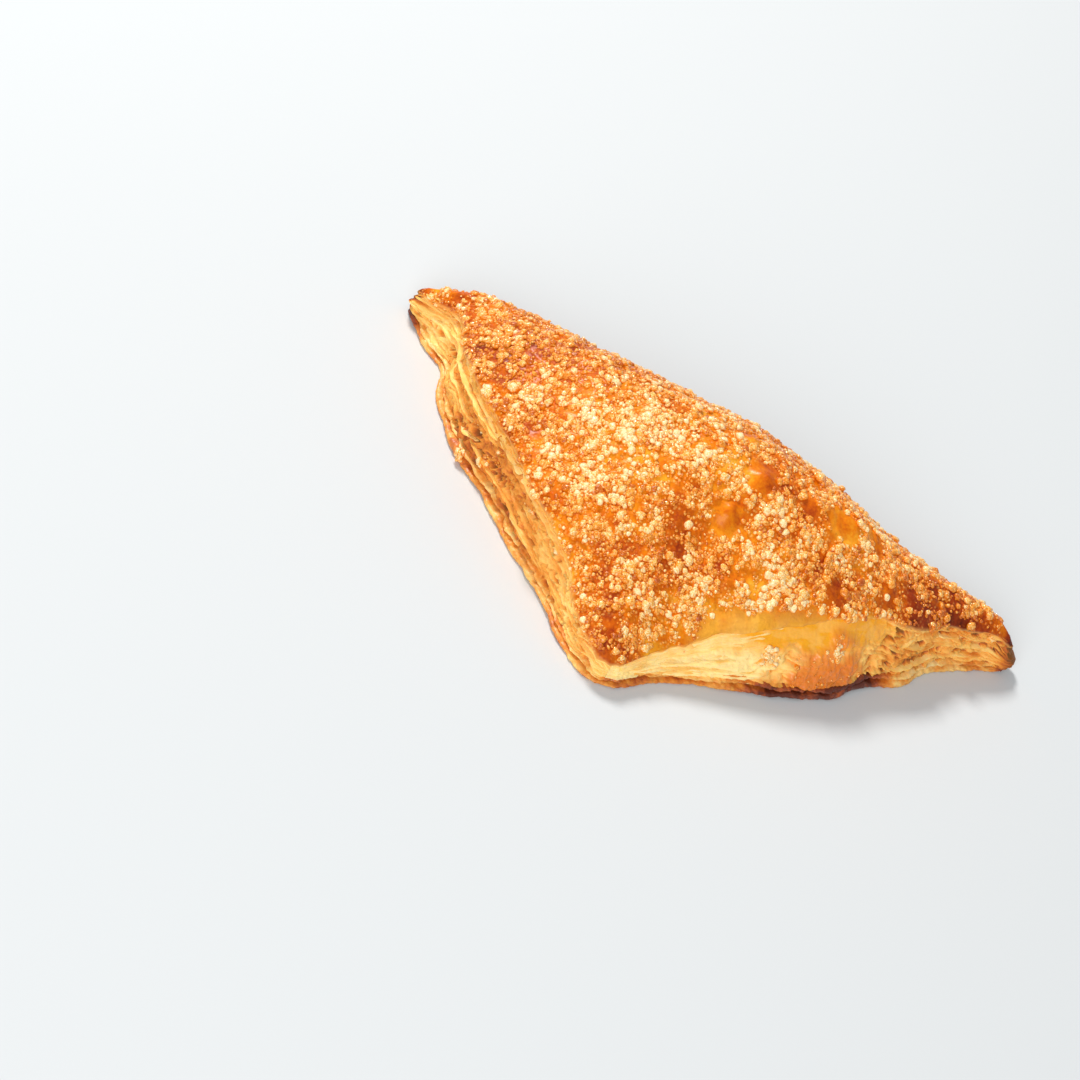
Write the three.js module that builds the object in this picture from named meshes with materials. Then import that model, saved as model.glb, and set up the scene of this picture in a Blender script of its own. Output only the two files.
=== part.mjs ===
// A turnover: a square of puff pastry folded corner to corner and baked, so that it puffs up
// into a right-angled triangle. The fold is the long edge. The other two edges are cut, and
// show a thin lower leaf, a seam above it, and the risen side of the upper leaf.
// Millimetres, +Z up. +X runs along the fold and +Y points from the right-angled corner to it.
import * as THREE from "three";

const tipToTip = 165; // the whole length along the fold
const tipRadius = 3.4; // rounding of the two sharp tips, in plan
const cornerRadius = 7; // rounding of the right-angled corner, in plan
const tipAngle = Math.PI / 4;
const crownHeight = 32; // top of the dome above the table, before the swellings
const domeFullness = 0.9; // 1 peaks softly in the middle, and less fills out to the rims
const rimPull = 4; // how much more the near parts of the rim shape the dome than the far ones

const stepsAround = 156;
const stepsUpWall = 6;
const ringsOnDome = 12;
const ringsUnderneath = 3;

// Each edge is described by a few stops, [share of its length, millimetres]:
// bulge is how far it swells past the straight edge, rim the height where the sugared top
// begins (on the fold, its whole height), and lean how far the side slopes in up to the rim.
const tipRim = 9;
const cornerRim = 6;
const tipLean = 2;
const leftCut = {
  bulge: [
    [0, 0.3], [0.08, 1.7], [0.14, 2], [0.21, 0.6], [0.27, 4.8], [0.33, 6.8], [0.42, 8.2],
    [0.54, 6.4], [0.65, 6], [0.8, 4.4], [0.9, 4.8], [1, 1.6],
  ],
  rim: [[0, tipRim], [0.12, 11.5], [0.26, 15], [0.55, 16.5], [0.74, 15], [0.88, 9.5], [1, cornerRim]],
  lean: [
    [0, tipLean], [0.08, 4.6], [0.14, 5.8], [0.21, 3], [0.27, 3.8], [0.33, 4.2], [0.42, 5],
    [0.54, 3.8], [0.73, 4.2], [0.88, 2.8], [1, 2],
  ],
};
const rightCut = {
  bulge: [[0, 1.6], [0.14, -0.8], [0.38, 5], [0.5, 6.2], [0.6, 3], [0.68, 3.2], [0.78, -0.8], [1, 0.6]],
  rim: [[0, cornerRim], [0.12, 7.5], [0.28, 14], [0.5, 18.5], [0.66, 16], [0.8, 12.5], [1, tipRim]],
  lean: [[0, 2], [0.12, 3.6], [0.3, 7.3], [0.5, 10], [0.66, 6.8], [0.8, 4], [1, tipLean]],
};
const fold = {
  bulge: [[0, 0], [0.2, 0.6], [0.5, 2], [0.8, 1], [1, 0]],
  rim: [[0, tipRim], [0.09, 12.5], [0.24, 15.5], [0.46, 24], [0.62, 21.5], [0.86, 16], [1, tipRim]],
  lean: [[0, tipLean], [0.16, 5], [0.5, 9], [0.84, 5.5], [1, tipLean]],
};
const tipBlend = 0.12; // share of the fold's length over which a cut side turns into the fold

// The lower leaf and the seam above it, as shares of the rim's height and in millimetres.
const lowerLeafShare = 0.22;
const underCut = 1.8; // how far the contact with the table lies inside the outline
const seamDepth = 2.6;
const lipInset = 0.9; // the upper leaf's lower lip, inside the outline
const layerRipple = 0.35;

// Soft swellings where steam has lifted the top: place from the middle of the fold, radius, height.
const swellings = [
  { at: [30, -16], radius: 13, height: 2.2 },
  { at: [-28, -20], radius: 15, height: 1.4 },
  { at: [4, -52], radius: 12, height: -1.6 },
  { at: [48, -13], radius: 10, height: -1.5 },
  { at: [16, -38], radius: 9, height: 1.2 },
  { at: [-8, -12], radius: 10, height: -1 },
];

// A smooth curve through the stops, read at share t.
function along(stops, t) {
  const last = stops.length - 1;
  const passed = stops.filter(([at]) => at <= t).length;
  const index = THREE.MathUtils.clamp(passed - 1, 0, last - 1);
  const slopeAt = (k) => {
    const [a, b] = [stops[Math.max(0, k - 1)], stops[Math.min(last, k + 1)]];
    return (b[1] - a[1]) / (b[0] - a[0]);
  };
  const [[t0, v0], [t1, v1]] = [stops[index], stops[index + 1]];
  const span = t1 - t0;
  const s = (t - t0) / span;
  const [s2, s3] = [s * s, s * s * s];
  return (
    (2 * s3 - 3 * s2 + 1) * v0 +
    (s3 - 2 * s2 + s) * span * slopeAt(index) +
    (3 * s2 - 2 * s3) * v1 +
    (s3 - s2) * span * slopeAt(index + 1)
  );
}

// The sharp triangle that the rounded outline sits in. Its right-angled corner lies half its
// length in front of the fold.
const sharpHalf = tipToTip / 2 + tipRadius * (1 / Math.sin(tipAngle / 2) - 1);
const leftTip = new THREE.Vector2(-sharpHalf, 0);
const rightTip = new THREE.Vector2(sharpHalf, 0);
const corner = new THREE.Vector2(0, -sharpHalf);
const middle = new THREE.Vector2(0, sharpHalf * (1 - Math.SQRT2)); // equally far from all edges
const edges = [
  { from: leftTip, to: corner, shape: leftCut },
  { from: corner, to: rightTip, shape: rightCut },
  { from: rightTip, to: leftTip, shape: fold },
];

// The straight-edged triangle with rounded corners, anticlockwise, as evenly spaced points.
function roundedTriangle() {
  const path = new THREE.Path();
  const corners = [
    { at: leftTip, radius: tipRadius },
    { at: corner, radius: cornerRadius },
    { at: rightTip, radius: tipRadius },
  ];
  corners.forEach(({ at, radius }, i) => {
    const before = corners[(i + 2) % 3].at.clone().sub(at).normalize();
    const after = corners[(i + 1) % 3].at.clone().sub(at).normalize();
    const half = Math.acos(before.dot(after)) / 2;
    const inward = before.clone().add(after).normalize();
    const centre = at.clone().addScaledVector(inward, radius / Math.sin(half));
    const start = at.clone().addScaledVector(before, radius / Math.tan(half)).sub(centre);
    const end = at.clone().addScaledVector(after, radius / Math.tan(half)).sub(centre);
    path.absarc(centre.x, centre.y, radius, start.angle(), end.angle(), false);
  });
  path.closePath();
  return path.getSpacedPoints(stepsAround).slice(0, stepsAround);
}

// Which edge a point belongs to, how far along it lies, and how much of it is fold.
function placeOnEdge(point) {
  const found = edges.map(({ from, to, shape }) => {
    const line = to.clone().sub(from);
    const share = THREE.MathUtils.clamp(point.clone().sub(from).dot(line) / line.lengthSq(), 0, 1);
    const distance = point.distanceTo(from.clone().addScaledVector(line, share));
    return { shape, share, distance };
  });
  const nearest = found.reduce((a, b) => (b.distance < a.distance - 1e-6 ? b : a));
  const fromTip = Math.min(nearest.share, 1 - nearest.share);
  const foldness = nearest.shape === fold ? THREE.MathUtils.smoothstep(fromTip, 0, tipBlend) : 0;
  return { ...nearest, foldness };
}

// The side's profile from the table up to the rim, as [inset, height] pairs.
function cutProfile(rim, lean) {
  const leaf = lowerLeafShare * rim;
  const points = [
    [underCut, 0],
    [0.5, 0.15 * leaf],
    [0, 0.55 * leaf],
    [0.3, 0.9 * leaf],
    [seamDepth, 1.1 * leaf],
    [seamDepth, 1.3 * leaf],
    [lipInset, 1.5 * leaf],
  ];
  for (let k = 1; k <= stepsUpWall; k++) {
    const share = k / stepsUpWall;
    const ripple = k < stepsUpWall ? layerRipple * (-1) ** k : 0;
    const inset = THREE.MathUtils.lerp(lipInset, lean, share ** 1.2) + ripple;
    points.push([inset, THREE.MathUtils.lerp(1.5 * leaf, rim, share)]);
  }
  return points;
}

function foldProfile(rim, lean, count) {
  return Array.from({ length: count }, (_, k) => {
    const angle = THREE.MathUtils.lerp(-Math.PI / 2, Math.PI * 0.42, k / (count - 1));
    const inset = lean * (1 - Math.cos(angle));
    return [inset, (rim / 2) * (1 + Math.sin(angle))];
  });
}

// How high the rims around a place stand and how far in from them it lies, both smooth inside.
function levelAndDepth(place, rims) {
  let [pull, pulledHeight] = [0, 0];
  rims.forEach((rim, i) => {
    const next = rims[(i + 1) % rims.length];
    const previous = rims[(i + rims.length - 1) % rims.length];
    const reach = Math.hypot(next.x - previous.x, next.y - previous.y) / 2;
    const weight = reach / Math.hypot(place.x - rim.x, place.y - rim.y) ** rimPull;
    pull += weight;
    pulledHeight += weight * rim.z;
  });
  return { level: pulledHeight / pull, depth: pull ** (1 / (1 - rimPull)) };
}

function swellingAt(x, y) {
  return swellings.reduce((sum, { at, radius, height }) => {
    const away = Math.hypot(x - at[0], y - at[1]) / radius;
    return sum + height * Math.exp(-away * away);
  }, 0);
}

// Every ring of the skin, from the middle of the underside, out, up the side and over the dome.
function skinRings() {
  const outline = roundedTriangle();
  const places = outline.map(placeOnEdge);
  const columns = outline.map((point, i) => {
    const next = outline[(i + 1) % stepsAround];
    const previous = outline[(i + stepsAround - 1) % stepsAround];
    const tangent = next.clone().sub(previous).normalize();
    const outward = new THREE.Vector2(tangent.y, -tangent.x);
    const { shape, share, foldness } = places[i];
    const rim = along(shape.rim, share);
    const lean = along(shape.lean, share);
    const swollen = point.clone().addScaledVector(outward, along(shape.bulge, share));
    const cut = cutProfile(rim, lean);
    const round = foldProfile(rim, lean, cut.length);
    return cut.map(([cutInset, cutHeight], k) => {
      const inset = THREE.MathUtils.lerp(cutInset, round[k][0], foldness);
      const height = THREE.MathUtils.lerp(cutHeight, round[k][1], foldness);
      const at = swollen.clone().addScaledVector(outward, -inset);
      return new THREE.Vector3(at.x, at.y, height);
    });
  });
  const towardsMiddle = (point, share, height) =>
    new THREE.Vector3(
      THREE.MathUtils.lerp(point.x, middle.x, share),
      THREE.MathUtils.lerp(point.y, middle.y, share),
      height,
    );
  const rings = [];
  for (let k = ringsUnderneath; k >= 1; k--) {
    rings.push(columns.map((c) => towardsMiddle(c[0], k / (ringsUnderneath + 1), 0)));
  }
  for (let k = 0; k < columns[0].length; k++) {
    rings.push(columns.map((c) => c[k]));
  }
  const rims = columns.map((c) => c[c.length - 1]);
  const atMiddle = levelAndDepth(middle, rims);
  const domeAt = (point, share) => {
    const at = towardsMiddle(point, share, 0);
    const { level, depth } = levelAndDepth(at, rims);
    const rise = Math.min(1, depth / atMiddle.depth) ** domeFullness;
    return at.setZ(level + (crownHeight - atMiddle.level) * rise + swellingAt(at.x, at.y) * rise);
  };
  for (let k = 1; k <= ringsOnDome; k++) {
    rings.push(rims.map((rim) => domeAt(rim, k / (ringsOnDome + 1))));
  }
  const crown = domeAt(middle, 1);
  return { rings, bottom: new THREE.Vector3(middle.x, middle.y, 0), crown };
}

// Joins the rings into one closed skin, with a fan at each end.
function closedSkin({ rings, bottom, crown }) {
  const points = [bottom, ...rings.flat(), crown];
  const index = [];
  const at = (ring, i) => 1 + ring * stepsAround + (i % stepsAround);
  for (let i = 0; i < stepsAround; i++) {
    index.push(0, at(0, i + 1), at(0, i));
    for (let r = 0; r < rings.length - 1; r++) {
      const [a, b, c, d] = [at(r, i), at(r, i + 1), at(r + 1, i + 1), at(r + 1, i)];
      index.push(a, b, c, a, c, d);
    }
    index.push(points.length - 1, at(rings.length - 1, i), at(rings.length - 1, i + 1));
  }
  const geometry = new THREE.BufferGeometry().setFromPoints(points);
  geometry.setIndex(index);
  return geometry;
}

const pastryGeometry = closedSkin(skinRings());
pastryGeometry.computeBoundingBox();
const { min, max } = pastryGeometry.boundingBox;
pastryGeometry.translate(-(min.x + max.x) / 2, -(min.y + max.y) / 2, -min.z);
pastryGeometry.computeVertexNormals();

const bakedCrust = new THREE.MeshStandardMaterial({
  color: new THREE.Color().setRGB(0.89, 0.58, 0.28, THREE.SRGBColorSpace),
  roughness: 0.55,
  metalness: 0,
});
const pastry = new THREE.Mesh(pastryGeometry, bakedCrust);
pastry.name = "pastry";

const turnover = new THREE.Group();
turnover.add(pastry);

export default turnover;
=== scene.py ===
import math

import bmesh
import bpy
import numpy as np
from mathutils import Matrix, Vector, noise
from mathutils.geometry import delaunay_2d_cdt


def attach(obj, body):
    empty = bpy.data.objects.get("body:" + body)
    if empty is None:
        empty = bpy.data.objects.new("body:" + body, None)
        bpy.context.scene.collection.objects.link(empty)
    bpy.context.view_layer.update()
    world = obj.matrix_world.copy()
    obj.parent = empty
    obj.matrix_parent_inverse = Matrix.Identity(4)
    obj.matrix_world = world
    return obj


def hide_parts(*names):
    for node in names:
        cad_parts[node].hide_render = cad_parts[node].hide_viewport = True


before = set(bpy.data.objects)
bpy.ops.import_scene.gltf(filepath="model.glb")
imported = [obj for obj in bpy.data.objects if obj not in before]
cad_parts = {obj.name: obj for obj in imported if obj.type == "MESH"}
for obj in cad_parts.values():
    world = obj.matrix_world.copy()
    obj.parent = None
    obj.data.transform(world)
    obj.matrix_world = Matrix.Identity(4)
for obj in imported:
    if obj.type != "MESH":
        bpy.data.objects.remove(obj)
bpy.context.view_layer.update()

# Shape numbers are millimetres. The fold runs along X, and the right-angled corner points to -Y.
toMetres = 0.001


def unit(vector):
    return vector / np.linalg.norm(vector)


def smooth(values, low, high):  # 0 below low, 1 above high, eased between
    share = np.clip((values - low) / (high - low), 0, 1)
    return share * share * (3 - 2 * share)


def blend(a, b, share):
    return a + (b - a) * share


# The camera comes first, so that framing is settled.
view = {
    "elevation": 39,  # degrees above the floor, seen from the right-angled corner's side
    "roll": 31.4,  # the fold runs down to the right by this much
    "lens": 135,
    "sensor": 36,
    "frameWidth": 251.7,  # what the frame takes in at the middle of the turnover
    "aimLeft": 27.3,  # how far the aim lies left of the turnover's middle, and above it
    "aimUp": 8.9,
}


def placeCamera():
    data = bpy.data.cameras.new("camera")
    data.lens = view["lens"]
    data.sensor_width = view["sensor"]
    data.clip_start = 0.01
    camera = bpy.data.objects.new("camera", data)
    bpy.context.collection.objects.link(camera)
    rise = math.radians(view["elevation"])
    back = Vector((0, -math.cos(rise), math.sin(rise)))
    across = Vector((1, 0, 0))
    upright = back.cross(across)
    turn = Matrix.Rotation(math.radians(view["roll"]), 3, back)
    right, up = turn @ across, turn @ upright
    distance = view["lens"] / view["sensor"] * view["frameWidth"]
    aim = up * view["aimUp"] - right * view["aimLeft"]
    facing = Matrix((right, up, back)).transposed()
    camera.matrix_world = Matrix.Translation((aim + back * distance) * toMetres) @ facing.to_4x4()
    bpy.context.scene.camera = camera
    return right, up, back


cameraRight, cameraUp, cameraBack = placeCamera()
print("camera placed")

# The turnover's form is shared by the crust, the leaves, the cut sides and the sugar.
form = {
    "tipToTip": 165,
    "tipRadius": 3.4,
    "cornerRadius": 7,
    "crown": 32,
    "fullness": 0.9,  # 1 peaks softly in the middle, and less fills out to the rims
    "pull": 4,  # how much more the near parts of the rim shape the dome than the far ones
    "tipBlend": 0.12,  # share of the fold over which a cut side turns into the fold
    "columnStep": 0.26,
    "outlineEasing": 0.8,
    "foldTop": 0.42,  # share of a half turn from the fold's nose up to the rim
    # Each edge has stops of [share of its length, millimetres]: how far it swells past the
    # straight edge, how high its rim stands, and how far its side slopes in up to the rim.
    "leftCut": {
        "bulge": [
            [0, 0.3], [0.08, 1.7], [0.14, 2], [0.21, 0.6], [0.27, 4.8], [0.33, 6.8], [0.42, 8.2],
            [0.54, 6.4], [0.65, 6], [0.8, 4.4], [0.9, 4.8], [1, 1.6],
        ],
        "rim": [[0, 9], [0.12, 11.5], [0.26, 15], [0.55, 16.5], [0.74, 15], [0.88, 9.5], [1, 6]],
        "lean": [
            [0, 2], [0.08, 4.6], [0.14, 5.6], [0.21, 2], [0.27, 2.6], [0.33, 3], [0.42, 3.8],
            [0.54, 2.4], [0.73, 2.9], [0.88, 2.4], [1, 2],
        ],
    },
    "rightCut": {
        "bulge": [
            [0, 1.6], [0.14, -0.8], [0.38, 5], [0.5, 6.2], [0.6, 3], [0.68, 3.2], [0.78, -0.8], [1, 0.6],
        ],
        "rim": [[0, 6], [0.12, 7.5], [0.28, 14], [0.5, 18.5], [0.66, 16], [0.8, 12.5], [1, 9]],
        "lean": [[0, 2], [0.12, 3.6], [0.3, 7.3], [0.5, 10], [0.66, 6.8], [0.8, 4], [1, 2]],
    },
    "fold": {
        "bulge": [[0, 0], [0.2, 0.6], [0.5, 2], [0.8, 1], [1, 0]],
        "rim": [[0, 9], [0.09, 12.5], [0.24, 15.5], [0.46, 24], [0.62, 21.5], [0.86, 16], [1, 9]],
        "lean": [[0, 2], [0.16, 5], [0.5, 9], [0.84, 5.5], [1, 2]],
    },
    # Soft swellings where steam has lifted the top: x and y, radius, height.
    "swellings": [
        (30, -16, 13, 2.2), (-28, -20, 15, 1.4), (4, -52, 12, -1.6),
        (48, -13, 10, -1.5), (16, -38, 9, 1.2), (-8, -12, 10, -1),
    ],
}

halfFold = form["tipToTip"] / 2 + form["tipRadius"] * (1 / math.sin(math.pi / 8) - 1)
leftTip, corner, rightTip = np.array([[-halfFold, 0], [0, -halfFold], [halfFold, 0]])
middle = np.array([0, halfFold * (1 - math.sqrt(2))])
edges = [
    (leftTip, corner, form["leftCut"]),
    (corner, rightTip, form["rightCut"]),
    (rightTip, leftTip, form["fold"]),
]
_, rightSide, foldSide = range(3)


def along(stops, shares):  # a smooth curve through the stops
    at, value = np.array(stops, float).T
    slope = np.empty(len(at))
    slope[1:-1] = (value[2:] - value[:-2]) / (at[2:] - at[:-2])
    slope[0] = (value[1] - value[0]) / (at[1] - at[0])
    slope[-1] = (value[-1] - value[-2]) / (at[-1] - at[-2])
    i = np.clip(np.searchsorted(at, shares, "right") - 1, 0, len(at) - 2)
    span = at[i + 1] - at[i]
    s = (shares - at[i]) / span
    return (
        (2 * s**3 - 3 * s**2 + 1) * value[i]
        + (s**3 - 2 * s**2 + s) * span * slope[i]
        + (3 * s**2 - 2 * s**3) * value[i + 1]
        + (s**3 - s**2) * span * slope[i + 1]
    )


def roundedTriangle():  # the straight-edged outline, anticlockwise and evenly spaced
    loop = []
    sharp = [leftTip, corner, rightTip]
    for i, at in enumerate(sharp):
        radius = form["cornerRadius"] if i == 1 else form["tipRadius"]
        before, after = unit(sharp[i - 1] - at), unit(sharp[(i + 1) % 3] - at)
        half = math.acos(before @ after) / 2
        centre = at + unit(before + after) * radius / math.sin(half)
        first, last = [at + way * radius / math.tan(half) - centre for way in (before, after)]
        start, end = math.atan2(first[1], first[0]), math.atan2(last[1], last[0])
        angles = np.linspace(start, end if end > start else end + 2 * math.pi, 40)
        loop.append(centre + radius * np.stack([np.cos(angles), np.sin(angles)], 1))
    loop = np.concatenate(loop + [loop[0][:1]])
    run = np.concatenate([[0], np.cumsum(np.linalg.norm(np.diff(loop, axis=0), axis=1))])
    wanted = np.arange(0, run[-1], run[-1] / round(run[-1] / form["columnStep"]))
    return np.stack([np.interp(wanted, run, loop[:, axis]) for axis in (0, 1)], 1), wanted


def eased(values, width):  # smooths numbers round the outline
    reach = int(3 * width / form["columnStep"])
    weights = np.exp(-0.5 * (np.arange(-reach, reach + 1) * form["columnStep"] / width) ** 2)
    wrapped = np.concatenate([values[-reach:], values, values[:reach]])
    return np.convolve(wrapped, weights / weights.sum(), "valid")


def outlineColumns():
    plain, run = roundedTriangle()
    shares, gaps = [], []
    for start, end, _ in edges:
        way = end - start
        share = np.clip((plain - start) @ way / (way @ way), 0, 1)
        shares.append(share)
        gaps.append(np.linalg.norm(plain - start - share[:, None] * way, axis=1))
    side = np.argmin(np.array(gaps) + np.arange(3)[:, None] * 1e-6, axis=0)
    share = np.choose(side, shares)
    tangent = np.roll(plain, -1, 0) - np.roll(plain, 1, 0)
    tangent /= np.linalg.norm(tangent, axis=1)[:, None]
    outward = np.stack([tangent[:, 1], -tangent[:, 0]], 1)
    numbers = {}
    for name in ("bulge", "rim", "lean"):
        found = np.choose(side, [along(shape[name], share) for _, _, shape in edges])
        numbers[name] = eased(found, form["outlineEasing"])
    fromTip = np.minimum(share, 1 - share)
    foldness = np.where(side == foldSide, smooth(fromTip, 0, form["tipBlend"]), 0)
    return {
        "at": plain + outward * numbers["bulge"][:, None],
        "outward": outward, "rim": numbers["rim"], "lean": numbers["lean"],
        "side": side, "share": share, "foldness": foldness, "run": run,
    }


columns = outlineColumns()
count = len(columns["run"])
seedShift = (17.31, 5.77, 11.13)


def wander(places, size, seed, octaves=3):  # smooth noise of about -1 to 1
    scaled = np.asarray(places, float) / size + [seed * shift for shift in seedShift]
    found = [noise.fractal(Vector(p), 1, 2, octaves, noise_basis="PERLIN_ORIGINAL") for p in scaled]
    return np.array(found)


def ripples(places, layers, first=0):  # several noises, each (size, seed, octaves, amount)
    return sum(part[3] * wander(places, part[0], first + part[1], part[2]) for part in layers)


def levelAndDepth(points, rims):  # how high the near rims stand, and how far in a point lies
    reach = np.linalg.norm(np.roll(rims, -1, 0) - np.roll(rims, 1, 0), axis=1)[:, None] / 2
    level, depth = np.empty(len(points)), np.empty(len(points))
    for i in range(0, len(points), 2000):
        part = points[i : i + 2000]
        gap2 = ((rims[:, None, :2] - part[None]) ** 2).sum(2)
        weight = reach / np.maximum(gap2, 1e-6) ** (form["pull"] / 2)
        total = weight.sum(0)
        level[i : i + 2000] = (weight * rims[:, 2:]).sum(0) / total
        depth[i : i + 2000] = total ** (1 / (1 - form["pull"]))
    return level, depth


def foldProfile(angle):  # inset and height of the rounded fold, from its nose at angle 0
    return columns["lean"] * (1 - math.cos(angle)), columns["rim"] / 2 * (1 + math.sin(angle))


def stepIn(inset, strip=slice(None)):  # the outline in plan, moved in by that much
    return columns["at"][strip] - columns["outward"][strip] * inset[:, None]


topAngle = math.pi * form["foldTop"]
rimInset, rimHeight = [
    blend(onCut, onFold, columns["foldness"])
    for onCut, onFold in zip((columns["lean"], columns["rim"]), foldProfile(topAngle))
]
rimLoop = np.column_stack([stepIn(rimInset), rimHeight])
planCentre = (columns["at"].min(0) + columns["at"].max(0)) / 2


def toFrame(points):  # from the millimetres of the form to the metres of the frame
    moved = np.array(points, float)
    moved[:, :2] -= planCentre
    return moved * toMetres


def fromFrame(x, y):  # a place given from the middle of the turnover's box
    return np.array([x, y]) + planCentre


tip = {  # pairs are for the left and the right tip
    "reach": (15, 9),  # how far from a tip its top bends
    "shift": ((-3, -3, -2.4), (-0.3, -0.9, -1.6)),
    "stiff": 1,  # the last millimetre moves as one
    "low": 1,  # nothing bends below this height, and all of it above the next
    "high": 8,
    "burnt": (4, 7),  # how far from the left and the right tip the dark edge reaches
    "burntBy": 0.7,
}
tipEnds = [columns["at"][np.argmin(((columns["at"] - end) ** 2).sum(1))] for end in (leftTip, rightTip)]


def bendTips(points):  # the top reaches out past the leaf at the left tip, and droops at the right
    raised = smooth(points[..., 2], tip["low"], tip["high"])
    moved = points
    for end, reach, shift in zip(tipEnds, tip["reach"], tip["shift"]):
        near = smooth(-np.linalg.norm(points[..., :2] - end, axis=-1), -reach, -tip["stiff"])
        moved = moved + (near * raised)[..., None] * shift
    return moved


print("outline of", count, "columns")

# The puffed top, its fold and its hidden underside are one closed skin.
crust = {
    "grid": 0.56,
    "lip": 1.5,  # thickness of the top leaf where it was cut
    "lipRagged": 0.55,
    "tuck": 3.4,  # how far in the hidden inner wall stands
    "tipTuck": 1.7,
    "foldRings": 22,
    # Where the nine sections of a cut side stand, as shares of the rings.
    "stations": [k / 21 for k in (0, 2, 4, 6, 8, 11, 13, 18, 21)],
    "rimMargin": 0.34,
    # Noises, each (size, seed, octaves, amount).
    "raggedBy": [(8, 12, 3, 2), (1.6, 13, 2, 0.5)],
    "dents": [(11, 5, 2, 1)],
    "wrinkles": [(3.2, 6, 3, 0.42)],
    "creases": {"size": 7, "seed": 8, "sharp": 5, "deep": 0.35},
    "foldWaves": [(9, 31, 2, 0.5)],
    "foldWrinkles": [(1.7, 32, 3, 0.5)],
    "underSpacing": 3.5,
    # The flat map: the top fills the upper part, the underside a corner, the fold a strip between
    # them. Each has its scale and its shift.
    "mapWidth": 177,
    "topMap": ((1, 0.62), (0, 0.36)),
    "underMap": ((0.5, 0.3), (0, 0)),
    "foldMap": (0.16, 0.22),
    # Places from the middle of the turnover: x, y, radius, height.
    "blisters": [
        (5.8, -0.8, 3.4, 1.5), (8.5, 10.2, 4.2, 1.3), (-3.3, -9.3, 2.2, 0.8), (2, 21.5, 3.2, 0.7),
        (22, 0, 3, 0.8), (34, 13, 3.4, 0.9), (-20, -9, 3.6, 0.6), (47, 16, 3, 0.8),
        (-44, 17, 4, 0.7), (-60, 27, 3, 0.6), (14, -13, 3.2, 0.9), (28, 24, 4, 0.8),
    ],
    "glassy": [  # x, y, radius and strength of the yellow, clear places above the spill
        (17, -22.5, 4, 0.8), (22, -19, 5, 1), (27, -15.5, 5, 1), (32.5, -11.5, 5, 1),
        (38, -7.5, 4.6, 1),
    ],
}


def blob(points, x, y, z, radius):  # 1 in the middle of a soft ball, fading to 0 at its radius
    away = np.linalg.norm(points - (*fromFrame(x, y), z), axis=1) / radius
    return np.clip(1 - away**2, 0, 1) ** 2


def bump(points, x, y, radius):  # 1 in the middle of a round patch, fading to 0 at its radius
    away = np.linalg.norm(points - fromFrame(x, y), axis=1) / radius
    return np.clip(1 - away**2, 0, 1) ** 2


spotEdge = {"size": 4, "seed": 3, "wavy": 1.6, "soft": 1.5}


def patches(points, spots):  # the strongest of several soft patches, each (x, y, radius, strength)
    flat = np.column_stack([points, 0 * points[:, 0]])
    edge = points + wander(flat, spotEdge["size"], spotEdge["seed"])[:, None] * spotEdge["wavy"]
    found = np.zeros(len(points))
    for x, y, radius, strength in spots:
        found = np.maximum(found, strength * bump(edge, x, y, radius * spotEdge["soft"]))
    return found


def domeDetail(points, rise):  # dents, creases and blisters on the dome
    flat = np.column_stack([points, 0 * points[:, 0]])
    alongFold = flat * (0.35, 1.1, 1)
    detail = ripples(flat, crust["dents"]) + ripples(alongFold, crust["wrinkles"])
    creases = crust["creases"]
    crease = 1 - np.abs(wander(flat, creases["size"], creases["seed"])) * creases["sharp"]
    detail -= np.clip(crease, 0, 1) ** 2 * creases["deep"]
    for x, y, radius, height in crust["blisters"]:
        detail += height * bump(points, x, y, radius)
    return detail * smooth(rise, 0.02, 0.25)


def domeHeights(points):
    level, depth = levelAndDepth(points, rimLoop)
    topLevel, topDepth = levelAndDepth(middle[None], rimLoop)
    rise = np.minimum(1, depth / topDepth) ** form["fullness"]
    swelling = np.zeros(len(points))
    for x, y, radius, height in form["swellings"]:
        away2 = ((points - (x, y)) ** 2).sum(1) / radius**2
        swelling += height * np.exp(-away2)
    height = level + (form["crown"] - topLevel) * rise + swelling * rise
    return height + domeDetail(points, rise)


def fillLoop(loop, spacing, gap):  # triangles across a flat loop, on a staggered grid
    low, high = loop.min(0), loop.max(0)
    rows = np.arange(low[1], high[1], spacing * math.sqrt(3) / 2)
    grid = []
    for i, y in enumerate(rows):
        x = np.arange(low[0] + spacing / 2 * (i % 2), high[0], spacing)
        grid.append(np.column_stack([x, np.full(len(x), y)]))
    grid = np.concatenate(grid)
    # Even-odd test against the loop, and a margin so that no sliver forms along it.
    ahead = np.roll(loop, -1, 0)
    inside = np.zeros(len(grid), bool)
    for a, b in zip(loop, ahead):
        crosses = (a[1] > grid[:, 1]) != (b[1] > grid[:, 1])
        if crosses.any():
            x = a[0] + (grid[:, 1] - a[1]) * (b[0] - a[0]) / (b[1] - a[1] + 1e-12)
            inside ^= crosses & (grid[:, 0] < x)
    grid = grid[inside]
    sparse = loop[:: max(1, int(spacing / form["columnStep"] / 2))]
    clear = np.empty(len(grid), bool)
    for i in range(0, len(grid), 4000):
        part = grid[i : i + 4000]
        near = ((part[:, None] - sparse[None]) ** 2).sum(2).min(1)
        clear[i : i + 4000] = near > gap**2
    points = np.concatenate([loop, grid[clear]])
    rim = [(i, (i + 1) % len(loop)) for i in range(len(loop))]
    made = delaunay_2d_cdt([Vector(p) for p in points], rim, [], 1, 1e-7)
    places = np.array([tuple(p) for p in made[0]])
    return places, [list(face) for face in made[2]], [list(source) for source in made[3]]


def ringFaces(rings, across):  # quads down a closed set of rings, facing outward
    a = np.arange(across)
    b = (a + 1) % across
    faces = [np.stack([r * across + a, (r + 1) * across + a, (r + 1) * across + b, r * across + b], 1)
             for r in range(rings - 1)]
    return np.concatenate(faces)


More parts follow.
